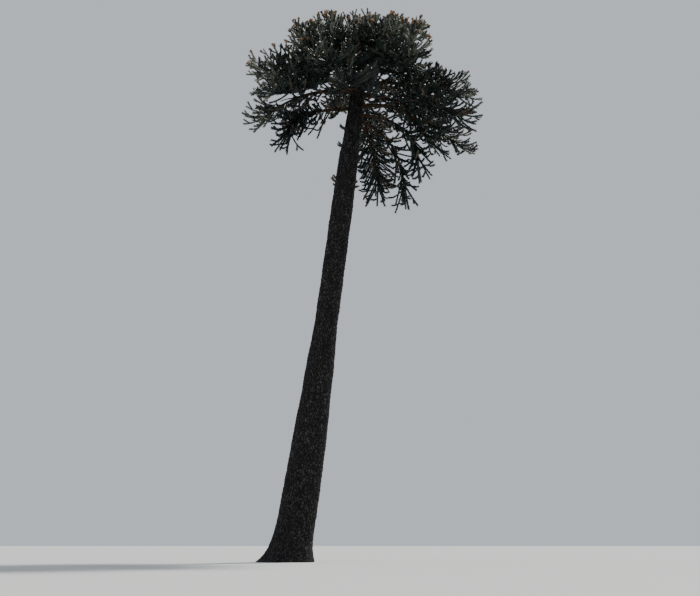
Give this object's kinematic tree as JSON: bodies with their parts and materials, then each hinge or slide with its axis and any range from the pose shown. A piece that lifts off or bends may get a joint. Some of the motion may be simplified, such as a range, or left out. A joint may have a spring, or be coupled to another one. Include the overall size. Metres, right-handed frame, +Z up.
{
  "type": "monkey puzzle tree",
  "caption": "Tall evergreen conifer: leaning bare trunk with a root flare, and a domed umbrella crown of drooping boughs with rope-like leafy shoots, fixed to level ground.",
  "frame": {"origin": "middle of the flat cut under the trunk, at ground level", "axes": "+Z up along the tree's height, +X towards the side that the trunk leans to"},
  "size_m": [9.5369, 9.6535, 21.2394],
  "materials": {
    "bark": "rough",
    "limb": "rough",
    "foliage": "satin"
  },
  "bodies": {
    "root": {"trunk": "bark", "bough_leader_1": "limb", "bough_leader_2": "limb", "bough_leader_3": "limb", "bough_dome_1": "limb", "bough_dome_2": "limb", "bough_dome_3": "limb", "bough_dome_4": "limb", "bough_dome_5": "limb", "bough_dome_6": "limb", "bough_dome_7": "limb", "bough_shoulder_1": "limb", "bough_shoulder_2": "limb", "bough_shoulder_3": "limb", "bough_shoulder_4": "limb", "bough_shoulder_5": "limb", "bough_shoulder_6": "limb", "bough_shoulder_7": "limb", "bough_skirt_1": "limb", "bough_skirt_2": "limb", "bough_skirt_3": "limb", "bough_skirt_4": "limb", "bough_skirt_5": "limb", "bough_skirt_6": "limb", "bough_hem_1": "limb", "bough_hem_2": "limb", "bough_hem_3": "limb", "bough_weeping_1": "limb", "bough_weeping_2": "limb", "bough_weeping_3": "limb", "foliage_leader_1": "foliage", "foliage_leader_2": "foliage", "foliage_leader_3": "foliage", "foliage_dome_1": "foliage", "foliage_dome_2": "foliage", "foliage_dome_3": "foliage", "foliage_dome_4": "foliage", "foliage_dome_5": "foliage", "foliage_dome_6": "foliage", "foliage_dome_7": "foliage", "foliage_shoulder_1": "foliage", "foliage_shoulder_2": "foliage", "foliage_shoulder_3": "foliage", "foliage_shoulder_4": "foliage", "foliage_shoulder_5": "foliage", "foliage_shoulder_6": "foliage", "foliage_shoulder_7": "foliage", "foliage_skirt_1": "foliage", "foliage_skirt_2": "foliage", "foliage_skirt_3": "foliage", "foliage_skirt_4": "foliage", "foliage_skirt_5": "foliage", "foliage_skirt_6": "foliage", "foliage_hem_1": "foliage", "foliage_hem_2": "foliage", "foliage_hem_3": "foliage", "foliage_weeping_1": "foliage", "foliage_weeping_2": "foliage", "foliage_weeping_3": "foliage", "foliage_tip": "foliage"}
  },
  "joints": []
}
